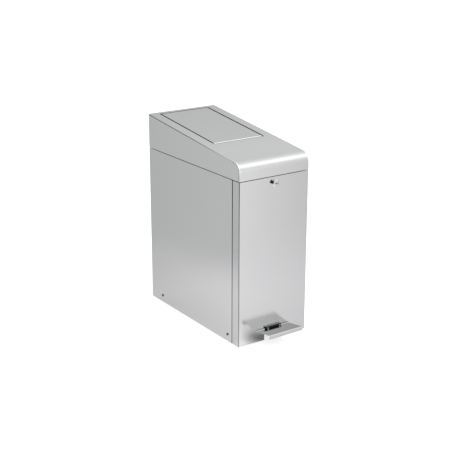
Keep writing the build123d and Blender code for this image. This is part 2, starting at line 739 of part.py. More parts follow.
with BuildPart() as rod_cap:
    with BuildSketch(Plane.XY.offset(cap_top - rod_end_height)):
        with Locations((0, rod_y)):
            RectangleRounded(rod_cap_width, rod_cap_length, rod_radius)
    extrude(amount=rod_end_height)
    chamfer(rod_cap.faces().sort_by(Axis.Z)[-1].edges(), rod_end_height / 8)
    bar_along_z(0, rod_y, rod_radius, 0, rod_end, Mode.SUBTRACT)
rod_cap.part.label = "rod_cap"
export_step(rod_cap.part, "parts/rod_cap.step")


def hinge_leaf_on(up, first):
    """A hinge leaf on the back, above or below the hinge line, with every second knuckle."""
    with BuildSketch(facing_back(0, back_y, hinge_z)) as plate:
        with Locations((0, up * (leaf_clear + leaf_width) / 2)):
            Rectangle(hinge_length, leaf_width - leaf_clear)
    extrude(plate.sketch, amount=hinge_leaf)
    for slot in range(first, knuckles, 2):
        start = slot * pitch - hinge_length / 2 + fit_gap / 2
        with BuildSketch(facing_back(-start - (pitch - fit_gap) / 2, back_y, hinge_z)) as web:
            with Locations((0, up * leaf_clear / 2)):
                Rectangle(pitch - fit_gap, leaf_clear)
        extrude(web.sketch, amount=hinge_leaf)
        bar_along_x(hinge_y, hinge_z, hinge_radius, -start, -start - pitch + fit_gap)
    bar_along_x(hinge_y, hinge_z, hinge_pin_radius + running_gap, -half_width, half_width, Mode.SUBTRACT)
    for x in leaf_rivets:
        rivet_hole(leaf_rivet_seat(x, up), 2 * hinge_leaf)


with BuildPart() as casing_hinge_leaf:
    hinge_leaf_on(-1, 1)
casing_hinge_leaf.part.label = "casing_hinge_leaf"
export_step(casing_hinge_leaf.part, "parts/casing_hinge_leaf.step")

with BuildPart() as lid_hinge_leaf:
    hinge_leaf_on(1, 0)
lid_hinge_leaf.part.label = "lid_hinge_leaf"
export_step(lid_hinge_leaf.part, "parts/lid_hinge_leaf.step")

with BuildPart() as hinge_pin:
    pin_half = hinge_length / 2 + sheet
    bar_along_x(hinge_y, hinge_z, hinge_pin_radius, -pin_half, pin_half)
hinge_pin.part.label = "hinge_pin"
export_step(hinge_pin.part, "parts/hinge_pin.step")

with BuildPart() as casing_hinge_rivets:
    for x in leaf_rivets:
        rivet(leaf_rivet_seat(x, -1), hinge_leaf + sheet)
casing_hinge_rivets.part.label = "casing_hinge_rivets"
export_step(casing_hinge_rivets.part, "parts/casing_hinge_rivets.step")

with BuildPart() as lid_hinge_rivets:
    for x in leaf_rivets:
        rivet(leaf_rivet_seat(x, 1), hinge_leaf + sheet)
lid_hinge_rivets.part.label = "lid_hinge_rivets"
export_step(lid_hinge_rivets.part, "parts/lid_hinge_rivets.step")

# The lid's front and roof are one sheet. Its lips stand inside the cheeks, and the flap's opening in it
# has edges that turn down.
lip_depth = 10.0
lip_ends = 52.0
roof_joint = 1.2  # open joint between this sheet and the edges of the cheeks
roof_edge = 0.6
opening_flange = 10.0
ledge_depth = 15.5
ledge_width = 14.0
hinge_room = 31.0  # along the roof, from the opening's back edge to where its side flanges begin
opening_half = flap_width / 2 + flap_gap
opening_front = flap_front - flap_front_gap
opening_back = flap_back + flap_back_gap
opening_middle = (opening_front + opening_back) / 2
opening_length = opening_back - opening_front
roof_length = casing_depth / math.cos(slope)
with BuildPart() as lid_top:
    with BuildSketch(Plane.YZ):
        lid_path = [(front_y, lid_bottom), (front_y, base_z + front_rise), (back_y, base_z + back_rise)]
        bent_sheet(lid_path, roll_radius, Side.RIGHT)
    extrude(amount=half_width, both=True)
    outer_edges = []
    for side_face in (lid_top.faces().sort_by(Axis.X)[0], lid_top.faces().sort_by(Axis.X)[-1]):
        straight = side_face.edges().filter_by(GeomType.LINE)
        rolled = side_face.edges().filter_by(GeomType.CIRCLE)
        outer_edges += [straight.sort_by(Axis.Y)[0], straight.sort_by(roof_axis)[-1]]
        outer_edges += [rolled.sort_by(SortBy.RADIUS)[-1]]
    fillet(outer_edges, roof_edge)
    with BuildSketch(Plane.XY.offset(lid_bottom)):
        with Locations((0, front_y + (rim_width + sheet / 2) / 2)):
            Rectangle(casing_width - 4 * sheet, rim_width - sheet / 2)
    extrude(amount=sheet)
    for side in (-1, 1):
        lip_x = side * (half_width - 3 * sheet / 2)
        block_under_roof(lip_x, -roof_length / 2, sheet, roof_length - lip_ends, sheet / 2, lip_depth)
        flange_length = opening_length - hinge_room
        flange_y = opening_front + flange_length / 2
        flange_x = side * (opening_half + sheet / 2)
        block_under_roof(flange_x, flange_y, sheet, flange_length, sheet / 2, opening_flange)
    flange_width = 2 * (opening_half + sheet)
    block_under_roof(0, opening_front - sheet / 2, flange_width, sheet, sheet / 2, ledge_depth)
    block_under_roof(0, opening_back + sheet / 2, flange_width, sheet, sheet / 2, opening_flange)
    ledge_y = opening_front + (ledge_width - sheet) / 2
    block_under_roof(0, ledge_y, 2 * opening_half, ledge_width + sheet, ledge_depth - sheet, ledge_depth)
    with BuildSketch(on_roof(0, opening_middle, -overrun)):
        Rectangle(2 * opening_half, opening_length)
    extrude(amount=-overrun - 2 * sheet, mode=Mode.SUBTRACT)
lid_top.part.label = "lid_top"
export_step(lid_top.part, "parts/lid_top.step")

# The lid's cheeks and back are a second sheet, which ends just under the roof.
with BuildPart() as lid_shell:
    cheek_start = front_y + sheet + roof_joint
    with BuildSketch(Plane.XY.offset(lid_bottom)):
        cheek_path = [
            (-half_width, cheek_start),
            (-half_width, back_y),
            (half_width, back_y),
            (half_width, cheek_start),
        ]
        bent_sheet(cheek_path, bend_radius, Side.RIGHT)
    extrude(amount=back_rise - seam_rise)
    with BuildSketch(Plane.YZ) as side_outline:
        past_back = base_z + back_rise + overrun * math.tan(slope)
        Polygon(
            (front_y, lid_bottom - overrun),
            (back_y + overrun, lid_bottom - overrun),
            (back_y + overrun, past_back),
            (front_y, base_z + front_rise),
            align=None,
        )
        fillet(side_outline.vertices().group_by(Axis.X)[0].sort_by(Axis.Y)[-1], roll_radius)
        offset(amount=-sheet - roof_joint, mode=Mode.REPLACE)
    extrude(amount=casing_width, both=True, mode=Mode.INTERSECT)
    side_rim(lid_bottom, front_y + rim_width + sheet)
    for x in leaf_rivets:
        rivet_hole(leaf_rivet_seat(x, 1), hinge_leaf + 2 * sheet)
lid_shell.part.label = "lid_shell"
export_step(lid_shell.part, "parts/lid_shell.step")

# Two brackets under the roof carry the flap's axle in flanged bushes.
bracket_sheet = 1.5
bracket_gap = 4.0  # from the flap's side to the bracket
bracket_length = 24.0
bracket_depth = 13.0
bracket_foot = 12.0
flap_bush_radius = 3.6
flap_bush_flange_radius = 5.0
flap_bush_flange = 1.2
flap_bush_tail = 1.5
bracket_face = flap_width / 2 + bracket_gap
hinge_along = flap_back - flap_hinge_inset
for side, place in ((-1, "left"), (1, "right")):
    with BuildPart() as flap_bracket:
        foot_x = side * (bracket_face + bracket_foot / 2)
        plate_x = side * (bracket_face + bracket_sheet / 2)
        block_under_roof(foot_x, hinge_along, bracket_foot, bracket_length, sheet, sheet + bracket_sheet)
        block_under_roof(plate_x, hinge_along, bracket_sheet, bracket_length, sheet, bracket_depth)
        bar_along_x(flap_y, flap_z, flap_bush_radius, -half_width, half_width, Mode.SUBTRACT)
    flap_bracket.part.label = place + "_flap_bracket"
    export_step(flap_bracket.part, "parts/" + place + "_flap_bracket.step")

with BuildPart() as flap_bushes:
    bush_end = bracket_face + bracket_sheet + flap_bush_tail
    for side in (-1, 1):
        inner = side * (bracket_face - flap_bush_flange)
        bar_along_x(flap_y, flap_z, flap_bush_flange_radius, inner, side * bracket_face)
        bar_along_x(flap_y, flap_z, flap_bush_radius, inner, side * bush_end)
    bore = flap_axle_radius + running_gap
    bar_along_x(flap_y, flap_z, bore, -half_width, half_width, Mode.SUBTRACT)
flap_bushes.part.label = "flap_bushes"
export_step(flap_bushes.part, "parts/flap_bushes.step")

flap_bumper_radius = 3.0
flap_bumper_x = 50.0
with BuildPart() as flap_bumpers:
    for side in (-1, 1):
        seat = on_roof(side * flap_bumper_x, flap_front + sheet, ledge_depth - sheet)
        disc(seat, flap_bumper_radius, ledge_depth - sheet - flap_flange - fit_gap)
flap_bumpers.part.label = "flap_bumpers"
export_step(flap_bumpers.part, "parts/flap_bumpers.step")

# The flap is a shallow tray, open below.
flap_edge = 0.6
flap_front_edge = 1.6
with BuildPart() as flap_panel:
    with BuildSketch(on_roof(0, (flap_front + flap_back) / 2, 0)):
        Rectangle(flap_width, flap_length)
    extrude(amount=-flap_flange)
    fillet(flap_panel.faces().sort_by(roof_axis)[-1].edges().sort_by(Axis.Y)[0], flap_front_edge)
    fillet(flap_panel.faces().sort_by(roof_axis)[-1].edges().sort_by(Axis.Y)[1:], flap_edge)
    offset(amount=-sheet, openings=flap_panel.faces().sort_by(roof_axis)[0])
    bar_along_x(flap_y, flap_z, flap_axle_radius, -half_width, half_width, Mode.SUBTRACT)
flap_panel.part.label = "flap_panel"
export_step(flap_panel.part, "parts/flap_panel.step")

with BuildPart() as flap_axle:
    clip_start = bush_end + fit_gap
    flap_axle_half = clip_start + 3 * clip_thickness
    bar_along_x(flap_y, flap_z, flap_axle_radius, -flap_axle_half, flap_axle_half)
    chamfer(flap_axle.faces().filter_by(Axis.X).edges(), clip_thickness / 2)
flap_axle.part.label = "flap_axle"
export_step(flap_axle.part, "parts/flap_axle.step")

with BuildPart() as flap_axle_clips:
    for start in (clip_start, -clip_start - clip_thickness):
        retaining_clip(flap_y, flap_z, flap_axle_radius, clip_radius - sheet / 2, start)
flap_axle_clips.part.label = "flap_axle_clips"
export_step(flap_axle_clips.part, "parts/flap_axle_clips.step")

# The cam's face is an involute, so the rod's flat cap lifts by the same amount for each degree of the flap.
cam_lead = -5.0  # degrees of the face in front of the contact at rest
cam_steps = 14
cam_boss = 6.0
cam_foot = 2.5
cam_foot_width = 28.0
cam_foot_length = 18.0
cam_stud_x = 9.5
stud_radius = 1.5
stud_length = 7.0
cam_nut_radius = 3.2
cam_nut_height = 2.4


def cam_face(turn):
    """The point of the cam's face that the cap touches after the flap has turned by so many degrees."""
    angle = math.radians(turn)
    fall = cam_radius * angle - cam_drop
    y = -cam_radius * math.cos(angle) - fall * math.sin(angle)
    z = -cam_radius * math.sin(angle) + fall * math.cos(angle)
    return (flap_y + y, flap_z + z)


def under_flap(y):
    """The point under the flap's sheet, at so far behind the flap's hinge line."""
    point = roof.from_local_coords(Vector(0, hinge_along + y, -sheet))
    return (point.Y, point.Z)


cam_turns = [cam_lead + (flap_opening - cam_lead) * i / cam_steps for i in range(cam_steps + 1)]
cam_middle = -cam_foot_length / 2 - cam_boss - sheet
with BuildPart() as flap_cam:
    with BuildSketch(Plane.YZ):
        with BuildLine():
            face = Spline(*[cam_face(turn) for turn in cam_turns])
            boss_side = (flap_y + cam_boss, flap_z)
            cam_front = under_flap(cam_middle - cam_foot_length / 2)
            Polyline(face @ 1, boss_side, under_flap(cam_boss), cam_front, face @ 0)
        make_face()
    extrude(amount=cam_thickness / 2, both=True)
    block_under_roof(0, hinge_along + cam_middle, cam_foot_width, cam_foot_length, sheet, sheet + cam_foot)
    bar_along_x(flap_y, flap_z, flap_axle_radius, -cam_thickness, cam_thickness, Mode.SUBTRACT)
    for side in (-1, 1):
        seat = on_roof(side * cam_stud_x, hinge_along + cam_middle, 0)
        disc(seat, stud_radius, -stud_length - overrun, mode=Mode.SUBTRACT)
flap_cam.part.label = "flap_cam"
export_step(flap_cam.part, "parts/flap_cam.step")

with BuildPart() as cam_studs:
    for side in (-1, 1):
        disc(on_roof(side * cam_stud_x, hinge_along + cam_middle, sheet), stud_radius, -stud_length)
cam_studs.part.label = "cam_studs"
export_step(cam_studs.part, "parts/cam_studs.step")

with BuildPart() as cam_nuts:
    for side in (-1, 1):
        with BuildSketch(on_roof(side * cam_stud_x, hinge_along + cam_middle, sheet + cam_foot)):
            RegularPolygon(cam_nut_radius, 6)
            Circle(stud_radius, mode=Mode.SUBTRACT)
        extrude(amount=-cam_nut_height)
cam_nuts.part.label = "cam_nuts"
export_step(cam_nuts.part, "parts/cam_nuts.step")

# Cam lock: the housing and its nut sit in the front panel. The plug, cam and screw turn in it, and the
# cam stands up when it is unlocked.
lock_edge = 1.6
lock_nut_radius = 10.0
lock_nut_height = 3.0
plug_head_radius = 6.8
plug_head = 3.0
key_width = 7.0
key_height = 1.4
key_depth = 5.0
plug_square = 7.0
cam_screw_radius = 1.5
cam_screw_head_radius = 5.5
cam_screw_head = 2.5
lock_cam_tail = 6.0
lock_face = front_y - lock_reach
lock_end = front_y + lock_barrel_length
cam_start = lock_end + 2 * fit_gap
cam_end = cam_start + lock_cam_sheet
with BuildPart() as lock_housing:
    bar_along_y(0, lock_z, lock_radius, lock_face, front_y)
    fillet(lock_housing.faces().sort_by(Axis.Y)[0].edges(), lock_edge)
    bar_along_y(0, lock_z, lock_barrel_radius, front_y, lock_end)
    bar_along_y(0, lock_z, plug_radius, lock_face, lock_end, Mode.SUBTRACT)
    bar_along_y(0, lock_z, plug_head_radius, lock_face, lock_face + plug_head, Mode.SUBTRACT)
lock_housing.part.label = "lock_housing"
export_step(lock_housing.part, "parts/lock_housing.step")

with BuildPart() as lock_nut:
    with BuildSketch(facing_back(0, front_y + sheet, lock_z)):
        RegularPolygon(lock_nut_radius, 6)
        Circle(lock_barrel_radius, mode=Mode.SUBTRACT)
    extrude(amount=lock_nut_height)
lock_nut.part.label = "lock_nut"
export_step(lock_nut.part, "parts/lock_nut.step")

with BuildPart() as lock_plug:
    bar_along_y(0, lock_z, plug_radius - running_gap, lock_face + fit_gap, cam_start)
    plug_face = lock_face + plug_head - running_gap
    bar_along_y(0, lock_z, plug_head_radius - running_gap, lock_face + fit_gap, plug_face)
    with BuildSketch(facing_back(0, cam_start, lock_z)):
        Rectangle(plug_square, plug_square)
    extrude(amount=lock_cam_sheet)
    with BuildSketch(facing_back(0, lock_face, lock_z)):
        Rectangle(key_width, key_height)
    extrude(amount=key_depth, mode=Mode.SUBTRACT)
    bar_along_y(0, lock_z, cam_screw_radius, cam_start - key_depth, cam_end + overrun, Mode.SUBTRACT)
lock_plug.part.label = "lock_plug"
export_step(lock_plug.part, "parts/lock_plug.step")

with BuildPart() as lock_cam:
    with BuildSketch(facing_back(0, cam_start, lock_z)):
        with Locations((0, (lock_cam_length - lock_cam_tail) / 2)):
            RectangleRounded(lock_cam_width, lock_cam_tail + lock_cam_length, lock_cam_width / 6)
        Rectangle(plug_square, plug_square, mode=Mode.SUBTRACT)
    extrude(amount=lock_cam_sheet)
lock_cam.part.label = "lock_cam"
export_step(lock_cam.part, "parts/lock_cam.step")

with BuildPart() as cam_screw:
    bar_along_y(0, lock_z, cam_screw_radius, cam_start - key_depth, cam_end)
    bar_along_y(0, lock_z, cam_screw_head_radius, cam_end, cam_end + cam_screw_head)
    chamfer(cam_screw.faces().sort_by(Axis.Y)[-1].edges(), cam_screw_head / 4)
cam_screw.part.label = "cam_screw"
export_step(cam_screw.part, "parts/cam_screw.step")

# The catch hangs from the lid's front rim, with its hook under the lock's cam when that is turned across.
catch_sheet = 1.5
catch_start = 8.0
catch_width = 14.0
catch_reach = 21.0
catch_hook = 6.5
catch_inset = 2.0
catch_clearance = 0.8
catch_top = lid_bottom + sheet + catch_sheet
hook_z = lock_z - lock_cam_width / 2 - catch_clearance - catch_sheet
with BuildPart() as lock_catch:
    with BuildSketch(Plane.YZ.offset(catch_start)):
        catch_y = front_y + catch_reach
        catch_path = [
            (front_y + catch_inset, catch_top),
            (catch_y, catch_top),
            (catch_y, hook_z),
            (catch_y - catch_hook, hook_z),
        ]
        bent_sheet(catch_path, bend_radius + sheet / 2, Side.RIGHT, catch_sheet)
    extrude(amount=catch_width)
lock_catch.part.label = "lock_catch"
export_step(lock_catch.part, "parts/lock_catch.step")
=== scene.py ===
import math

import bpy
from mathutils import Matrix, Vector


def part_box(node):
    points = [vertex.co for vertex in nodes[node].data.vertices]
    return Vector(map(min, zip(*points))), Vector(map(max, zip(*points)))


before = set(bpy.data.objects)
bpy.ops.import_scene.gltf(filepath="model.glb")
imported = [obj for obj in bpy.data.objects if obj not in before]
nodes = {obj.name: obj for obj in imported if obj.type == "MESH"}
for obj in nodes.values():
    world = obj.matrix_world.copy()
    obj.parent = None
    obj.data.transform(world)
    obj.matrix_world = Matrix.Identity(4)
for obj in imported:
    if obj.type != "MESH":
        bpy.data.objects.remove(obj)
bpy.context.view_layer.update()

# Sizes in metres, read from the pieces' boxes in model.glb
casing_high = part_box("casing_shell")[1]
front_low, front_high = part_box("front_panel")
lid_low, lid_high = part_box("lid_top")
flap_low, flap_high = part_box("flap_panel")
pedal_low, pedal_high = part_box("pedal_plate")
screws_low, screws_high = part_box("clamp_screws")
plug_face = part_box("lock_plug")[0][1]
half_width = casing_high[0]
front_y = front_low[1]
back_y = casing_high[1]

# Sizes of the object that its boxes don't give
millimetre = 0.001
flap_gap = 3 * millimetre
groove = 2 * millimetre
roof_rise = 46 * millimetre  # over the casing's whole depth
opening_half = flap_high[0] + flap_gap
shell_start = front_high[1] + groove

roof_slope = math.atan2(roof_rise, back_y - front_y)
roof_normal = Vector((0, -math.sin(roof_slope), math.cos(roof_slope)))
roof_level = Vector((0, back_y, lid_high[2])).dot(roof_normal)

x_axis = (1, 0, 0)
y_axis = (0, 1, 0)
z_axis = (0, 0, 1)


# Shader helpers


def new_material(name):
    material = bpy.data.materials.new(name)
    material.use_nodes = True
    tree = material.node_tree
    tree.nodes.clear()
    return material, tree


def add(tree, kind, **values):
    """Adds a node and sets its properties or inputs by name."""
    node = tree.nodes.new(kind)
    for key, value in values.items():
        if hasattr(node, key):
            setattr(node, key, value)
        else:
            node.inputs[key.replace("_", " ")].default_value = value
    return node


def link(tree, output, node, name):
    tree.links.new(output, node.inputs[name])


def place(tree):
    """Coordinates of the piece itself, which move with it."""
    return add(tree, "ShaderNodeTexCoord").outputs["Object"]


def mirrored(tree):
    """Coordinates of the piece with every sign dropped, so that X counts outwards from its middle."""
    outwards = add(tree, "ShaderNodeVectorMath", operation="ABSOLUTE")
    tree.links.new(place(tree), outwards.inputs[0])
    return outwards.outputs[0]


def noise(tree, scale, detail=4.0, stretch=(1, 1, 1)):
    mapping = add(tree, "ShaderNodeMapping", Scale=stretch)
    link(tree, place(tree), mapping, "Vector")
    texture = add(tree, "ShaderNodeTexNoise", Scale=scale, Detail=detail, Roughness=0.55)
    link(tree, mapping.outputs["Vector"], texture, "Vector")
    return texture.outputs["Fac"]


def spread(tree, source, low, high, start=0.3, end=0.7):
    """Maps a value between start and end to one between low and high."""
    span = add(tree, "ShaderNodeMapRange", From_Min=start, From_Max=end, To_Min=low, To_Max=high)
    link(tree, source, span, "Value")
    return span.outputs["Result"]


def measured(tree, operation, vector, start, end, levels, source):
    """Measures the surface's place against a vector, and maps start and end to the two levels."""
    measure = add(tree, "ShaderNodeVectorMath", operation=operation)
    tree.links.new(source or place(tree), measure.inputs[0])
    measure.inputs[1].default_value = vector
    return spread(tree, measure.outputs["Value"], *levels, start, end)


def along(tree, direction, start, end, levels=(0.0, 1.0), source=None):
    """Goes from one level to the other between two places along a direction, in either order."""
    return measured(tree, "DOT_PRODUCT", direction, start, end, levels, source)


def around(tree, centre, start, end, levels=(0.0, 1.0), source=None):
    """Goes from one level to the other between two distances from a point."""
    return measured(tree, "DISTANCE", centre, start, end, levels, source)


def mixed(tree, share, first, second):
    """Mixes two colours, each a socket or three numbers, by a share from 0 to 1."""
    colour_inputs = (6, 7)
    colour_output = 2
    mix = add(tree, "ShaderNodeMix", data_type="RGBA")
    link(tree, share, mix, "Factor")
    for value, slot in zip((first, second), colour_inputs):
        if isinstance(value, (tuple, list)):
            mix.inputs[slot].default_value = (*value, 1)
        else:
            tree.links.new(value, mix.inputs[slot])
    return mix.outputs[colour_output]


def calculated(tree, operation, values):
    """Joins values, each a socket or a number, by one operation."""
    result = values[0]
    for value in values[1:]:
        node = add(tree, "ShaderNodeMath", operation=operation)
        for slot, part in enumerate((result, value)):
            if isinstance(part, (int, float)):
                node.inputs[slot].default_value = part
            else:
                tree.links.new(part, node.inputs[slot])
        result = node.outputs[0]
    return result


def total(tree, *values):
    return calculated(tree, "ADD", values)


def product(tree, *values):
    return calculated(tree, "MULTIPLY", values)


def highest(tree, *values):
    return calculated(tree, "MAXIMUM", values)


def bumped(tree, source, strength, height):
    bump = add(tree, "ShaderNodeBump", Strength=strength, Distance=height)
    link(tree, source, bump, "Height")
    return bump.outputs["Normal"]


def show(tree, surface):
    """Ends a material with its output."""
    link(tree, surface, add(tree, "ShaderNodeOutputMaterial"), "Surface")


def shade(tree, colour, rough, normal, metallic=0.0, specular=0.5):
    surface = add(tree, "ShaderNodeBsdfPrincipled", Metallic=metallic)
    surface.inputs["Specular IOR Level"].default_value = specular
    link(tree, colour, surface, "Base Color")
    link(tree, rough, surface, "Roughness")
    link(tree, normal, surface, "Normal")
    show(tree, surface.outputs["BSDF"])


# Kinds of finish

grain_stretch = 0.012
upright = (1, 1, grain_stretch)
down_the_roof = (1, grain_stretch, grain_stretch)
crosswise = (grain_stretch, 1, 1)


def brushed_steel(name, tone, rough, grain, patches=()):
    """Sheet steel with a fine grain and wipe marks. A patch is a mask with its own tone and roughness;
    most patches paint shade, dark reflections or highlights into the colour.
    """
    fine_share = 0.7
    contrast = 0.025
    grain_wear = 0.01
    wipe_wear = 0.015
    material, tree = new_material(name)
    fine = noise(tree, scale=2600.0, detail=2.0, stretch=grain)
    broad = noise(tree, scale=900.0, detail=2.0, stretch=grain)
    cloud = noise(tree, scale=7.0, detail=3.0)
    streaks = total(tree, product(tree, fine, fine_share), product(tree, broad, 1 - fine_share))
    dark = [tone * (1 - contrast)] * 3
    light = [tone * (1 + contrast)] * 3
    colour = mixed(tree, spread(tree, streaks, 0.0, 1.0), dark, light)
    wear = spread(tree, cloud, -wipe_wear, wipe_wear)
    dullness = total(tree, spread(tree, streaks, rough - grain_wear, rough + grain_wear), wear)
    for mask, patch_tone, patch_rough in patches:
        covered = mask(tree)
        bare = spread(tree, covered, 1.0, 0.0, 0.0, 1.0)
        colour = mixed(tree, covered, colour, [patch_tone] * 3)
        dullness = total(tree, product(tree, dullness, bare), product(tree, covered, patch_rough))
    shade(tree, colour, dullness, bumped(tree, streaks, strength=0.004, height=0.0001), metallic=1.0)
    return material


def plain_metal(name, tone, rough, scale=300.0, contrast=0.06, bump=0.03, mask=None):
    """Plated or ground metal with an even, fine texture, black where the mask is 1."""
    black = [0.005] * 3
    polish = 0.04
    wear = 0.05
    material, tree = new_material(name)
    speck = noise(tree, scale, detail=5.0)
    dark = [c * (1 - contrast) for c in tone]
    light = [c * (1 + contrast) for c in tone]
    colour = mixed(tree, spread(tree, speck, 0.0, 1.0), dark, light)
    dullness = spread(tree, speck, rough - polish, rough + wear)
    if mask is not None:
        colour = mixed(tree, mask(tree), colour, black)
    shade(tree, colour, dullness, bumped(tree, speck, bump, height=0.0002), metallic=1.0)
    return material


def zinc(name, tone):
    """Galvanised sheet, with its pattern of flat crystals."""
    dark_share = 0.86
    bluish_shares = (1.08, 1.09, 1.1)
    smooth = 0.32
    dull = 0.5
    material, tree = new_material(name)
    crystal = add(tree, "ShaderNodeTexVoronoi", feature="F1", Scale=90.0)
    link(tree, place(tree), crystal, "Vector")
    grey = add(tree, "ShaderNodeSeparateColor")
    link(tree, crystal.outputs["Color"], grey, "Color")
    bluish = [tone * share for share in bluish_shares]
    colour = mixed(tree, grey.outputs["Red"], [tone * dark_share] * 3, bluish)
    dullness = spread(tree, grey.outputs["Green"], smooth, dull, 0.0, 1.0)
    normal = bumped(tree, noise(tree, scale=500.0), strength=0.05, height=0.0002)
    shade(tree, colour, dullness, normal, metallic=1.0)
    return material


def moulded(name, dark, light, rough, grain=700.0, bump=0.25, specular=0.5):
    """Moulded plastic or rubber with a fine spark-eroded grain and a few cloudy scuffs."""
    pit_wear = 0.06
    scuff_wear = 0.04
    material, tree = new_material(name)
    pits = noise(tree, grain, detail=2.0)
    cloud = noise(tree, scale=14.0, detail=5.0)
    colour = mixed(tree, spread(tree, cloud, 0.0, 1.0), dark, light)
    wear = spread(tree, cloud, -scuff_wear, scuff_wear)
    dullness = total(tree, spread(tree, pits, rough - pit_wear, rough + pit_wear), wear)
    shade(tree, colour, dullness, bumped(tree, pits, bump, height=0.0003), specular=specular)
    return material


# Where the patches lie, as masks that are 1 there; most of them mark painted shade, painted reflections
# or painted highlights


def below_the_roof(tree, start, end):
    """A mask that goes from 0 to 1 between two depths under the roof's plane."""
    return along(tree, -roof_normal, start - roof_level, end - roof_level)


def outwards(tree, start, end):
    """A mask that goes from 0 to 1 between two distances from the object's middle plane."""
    return along(tree, x_axis, start, end, source=mirrored(tree))


def shade_in_the_joints(tree):
    """Painted shade on the upper part of what turns down from the roof and stays out of sight in its
    joints.
    """
    lit_depth = 0.4 * millimetre
    fade = 0.3 * millimetre
    dark_depth = 4 * millimetre
    last_depth = 7 * millimetre
    light_end = front_y + 60 * millimetre
    dark_start = front_y + 220 * millimetre
    begins = below_the_roof(tree, lit_depth, lit_depth + fade)
    ends = below_the_roof(tree, last_depth, dark_depth)
    behind = along(tree, y_axis, light_end, dark_start)
    return product(tree, begins, ends, behind)


def shade_on_the_roof(tree):
    """Painted shade on what faces the joints with the cheeks, and on the bends round the opening at its
    sides and rear.
    """
    edge = opening_half + 1.1 * millimetre
    edge_fade = 0.2 * millimetre
    corner = flap_low[1] + 4 * millimetre
    rear = flap_high[1] + 6 * millimetre
    skin = 0.15 * millimetre
    fade = 2 * millimetre
    inwards = outwards(tree, edge + edge_fade, edge)
    rearwards = along(tree, y_axis, corner, corner + fade)
    bends = product(tree, inwards, rearwards)
    beside = product(tree, bends, along(tree, y_axis, flap_high[1], flap_high[1] - millimetre))
    under = below_the_roof(tree, skin, 2 * skin)
    behind = product(tree, bends, under, along(tree, y_axis, rear + fade, rear))
    return highest(tree, shade_in_the_joints(tree), beside, behind)


def towards_the_rear(tree):
    """The higher part of the roof, made darker than its front."""
    return along(tree, y_axis, front_y / 2, back_y)


def painted_highlight_on_the_flaps_lip(tree):
    """A painted highlight on the rounded front edge of the flap."""
    lip = flap_low[1] + 2 * millimetre
    return along(tree, y_axis, lip + millimetre, lip)


def painted_highlight_on_the_rolls_ends(tree):
    """A painted highlight on the edges of the rolled front, above the lid's foot."""
    edge = half_width - 2.2 * millimetre
    roll = front_y + 20 * millimetre
    foot = lid_low[2] + 12 * millimetre
    beside = outwards(tree, edge - millimetre, edge)
    ahead = along(tree, y_axis, roll + 4 * millimetre, roll)
    above = along(tree, z_axis, foot, foot + 10 * millimetre)
    return product(tree, beside, ahead, above)


def shade_on_the_flap(tree):
    """Painted shade on what faces the joints round the flap at its sides and rear."""
    edge = flap_high[0] - 0.3 * millimetre
    edge_fade = 0.15 * millimetre
    rear = flap_high[1] - 0.4 * millimetre
    rear_fade = 0.2 * millimetre
    skin = 0.05 * millimetre
    beside = outwards(tree, edge, edge + edge_fade)
    behind = along(tree, y_axis, rear - rear_fade, rear)
    under = below_the_roof(tree, skin, skin + edge_fade)
    return highest(tree, shade_in_the_joints(tree), product(tree, highest(tree, beside, behind), under))


def shade_on_the_tongues(tree):
    """Painted shade on the outer face of the tongues that stand behind the front panel's returns."""
    skin = half_width - 1.6 * millimetre
    skin_fade = 0.1 * millimetre
    edge = shell_start + 0.4 * millimetre
    edge_fade = 0.4 * millimetre
    outside = outwards(tree, skin, skin + skin_fade)
    return product(tree, outside, along(tree, y_axis, edge + edge_fade, edge))


def on_the_returns(tree):
    """The front panel's two returns, which lie in one plane with the sides."""
    fade = 0.3 * millimetre
    return outwards(tree, half_width - 2 * fade, half_width - fade)


def shade_beside_the_groove(tree):
    """Painted shade on the return's edge along its groove, which gets darker as it rises."""
    edge = front_high[1] - 0.9 * millimetre
    fade = 0.3 * millimetre
    bare_below = 150 * millimetre
    dark_above = 360 * millimetre
    at_the_edge = along(tree, y_axis, edge, edge + fade)
    return product(tree, at_the_edge, along(tree, z_axis, bare_below, dark_above))


def painted_dark_folds(tree):
    """A painted dark reflection on the front panel's two upright folds."""
    reach = 2.2 * millimetre
    beside = outwards(tree, half_width - reach, half_width - reach + millimetre)
    ahead = along(tree, y_axis, front_y + reach, front_y + reach - millimetre)
    return product(tree, beside, ahead)


def painted_reflection_on_the_tread(tree):
    """A painted dark reflection on the top of the pedal, between its front bend and its turned-up rear
    edge.
    """
    front_bend = pedal_low[1] + 2.5 * millimetre
    front_fade = 1.5 * millimetre
    rear_edge = pedal_high[1] - 1.6 * millimetre
    rear_fade = 0.4 * millimetre
    behind = along(tree, y_axis, front_bend, front_bend + front_fade)
    ahead = along(tree, y_axis, rear_edge, rear_edge - rear_fade)
    return product(tree, behind, ahead)


def round_the_screws(tree):
    """The heads of the clamp's screws, blackened round their bare middle, whose bright tone is a painted
    glint.
    """
    bare_share = 0.65
    black_share = 0.8
    radius = (screws_high[2] - screws_low[2]) / 2
    middle = (screws_high[0] - radius, -screws_low[1], screws_low[2] + radius)
    return around(tree, middle, bare_share * radius, black_share * radius, source=mirrored(tree))


def shade_in_the_keyway(tree):
    """Painted shade inside the plug, behind its face."""
    skin = plug_face + 0.5 * millimetre
    fade = 0.2 * millimetre
    return along(tree, y_axis, skin, skin + fade)


# Finishes of the pieces


def finish(material, *names):
    for name in names:
        for slot in nodes[name].material_slots:
            slot.material = material


